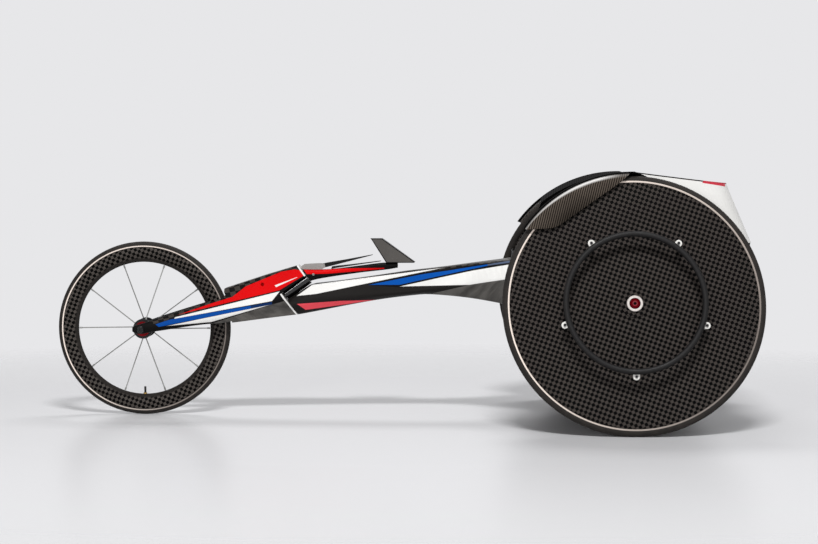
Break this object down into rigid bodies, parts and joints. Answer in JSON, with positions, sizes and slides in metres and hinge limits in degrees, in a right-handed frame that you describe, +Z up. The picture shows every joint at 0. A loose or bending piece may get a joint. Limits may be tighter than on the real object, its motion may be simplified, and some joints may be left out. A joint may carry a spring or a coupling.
{
  "type": "racing wheelchair",
  "caption": "Three-wheeled racing wheelchair: long boom with steered, braked front wheel, kneeling tub, side guards and cambered disc wheels with push rims.",
  "frame": {"origin": "on the ground, at the centre of the footprint of the whole chair", "axes": "+X to the rear, +Y to the rider's right, +Z up"},
  "size_m": [1.8779, 0.7752, 0.6656],
  "materials": {
    "painted_shell": "glossy lacquer",
    "red_shell": "glossy lacquer",
    "white_shell": "glossy lacquer",
    "carbon": "clear-coated weave",
    "black_metal": "satin anodised",
    "steel": "satin",
    "aluminium": "machined",
    "white_metal": "gloss",
    "red_metal": "anodised",
    "fabric": "woven",
    "tyre": "matt",
    "rubber": "matt",
    "brass": "machined"
  },
  "bodies": {
    "frame": {"boom": "painted_shell", "head_tube": "black_metal", "head_bearings": "steel", "seat_tub": "carbon", "rear_fairing": "white_shell", "fairing_trim": "carbon", "fender_left": "carbon", "fender_right": "carbon", "fender_screws": "steel", "axle_keel": "carbon", "axle_tube_left": "aluminium", "axle_tube_right": "aluminium", "axle_plugs": "aluminium", "axle_pins": "steel", "axle_caps": "red_metal", "seat_cushion": "fabric", "knee_pad": "fabric"},
    "steering": {"fork": "red_shell", "steerer_pin": "steel", "tiller": "painted_shell", "tiller_screws": "steel", "steering_fin": "rubber", "steering_handle": "carbon", "lever_bracket": "aluminium", "lever_pin": "steel", "front_axle": "steel", "front_axle_nuts": "black_metal", "caliper_bolt": "steel"},
    "brake_lever": {"brake_lever": "carbon"},
    "caliper_left": {"caliper_arm_left": "black_metal", "brake_pad_left": "rubber"},
    "caliper_right": {"caliper_arm_right": "black_metal", "brake_pad_right": "rubber"},
    "front_wheel": {"front_tyre": "tyre", "front_rim": "carbon", "front_hub": "black_metal", "front_hub_rings": "red_metal", "front_bearings": "steel", "front_spokes": "steel", "front_nipples": "steel", "valve_stem": "black_metal", "valve_nut": "brass"},
    "wheel_left": {"tyre_left": "tyre", "disc_left": "carbon", "hub_left": "black_metal", "hub_bearings_left": "steel", "hub_ring_left": "aluminium", "push_rim_left": "rubber", "push_rim_tabs_left": "white_metal", "tab_screws_left": "steel"},
    "wheel_right": {"tyre_right": "tyre", "disc_right": "carbon", "hub_right": "black_metal", "hub_bearings_right": "steel", "hub_ring_right": "aluminium", "push_rim_right": "rubber", "push_rim_tabs_right": "white_metal", "tab_screws_right": "steel"}
  },
  "joints": [
    {"name": "steering_turn", "type": "hinge", "parent": "frame", "child": "steering", "pos_m": [-0.282, 0, 0.353], "axis": [0.809, 0, 0.5878], "range_deg": [-12, 12]},
    {"name": "front_wheel_spin", "type": "hinge", "parent": "steering", "child": "front_wheel", "pos_m": [-0.702, 0, 0.237], "axis": [0, -1, 0], "continuous": true},
    {"name": "wheel_left_spin", "type": "hinge", "parent": "frame", "child": "wheel_left", "pos_m": [0.605, -0.29, 0.32695], "axis": [0, -0.9781, 0.2079], "continuous": true},
    {"name": "wheel_right_spin", "type": "hinge", "parent": "frame", "child": "wheel_right", "pos_m": [0.605, 0.29, 0.32695], "axis": [0, -0.9781, -0.2079], "continuous": true},
    {"name": "brake_squeeze", "type": "hinge", "parent": "steering", "child": "brake_lever", "pos_m": [-0.21335, 0, 0.40851], "axis": [0, 1, 0], "range_deg": [0, 4.5], "stiffness_Nm_per_rad": 0.4, "springref_deg": -11.46},
    {"name": "caliper_left_close", "type": "hinge", "parent": "steering", "child": "caliper_left", "pos_m": [-0.45458, 0, 0.29869], "axis": [0.2419, 0, -0.9703], "range_deg": [0, 2]},
    {"name": "caliper_right_close", "type": "hinge", "parent": "steering", "child": "caliper_right", "pos_m": [-0.45458, 0, 0.29869], "axis": [-0.2419, 0, 0.9703], "range_deg": [0, 2]}
  ],
  "couplings": [
    {"joint": "caliper_left_close", "follows": "brake_squeeze", "ratio": 0.44444},
    {"joint": "caliper_right_close", "follows": "brake_squeeze", "ratio": 0.44444}
  ]
}
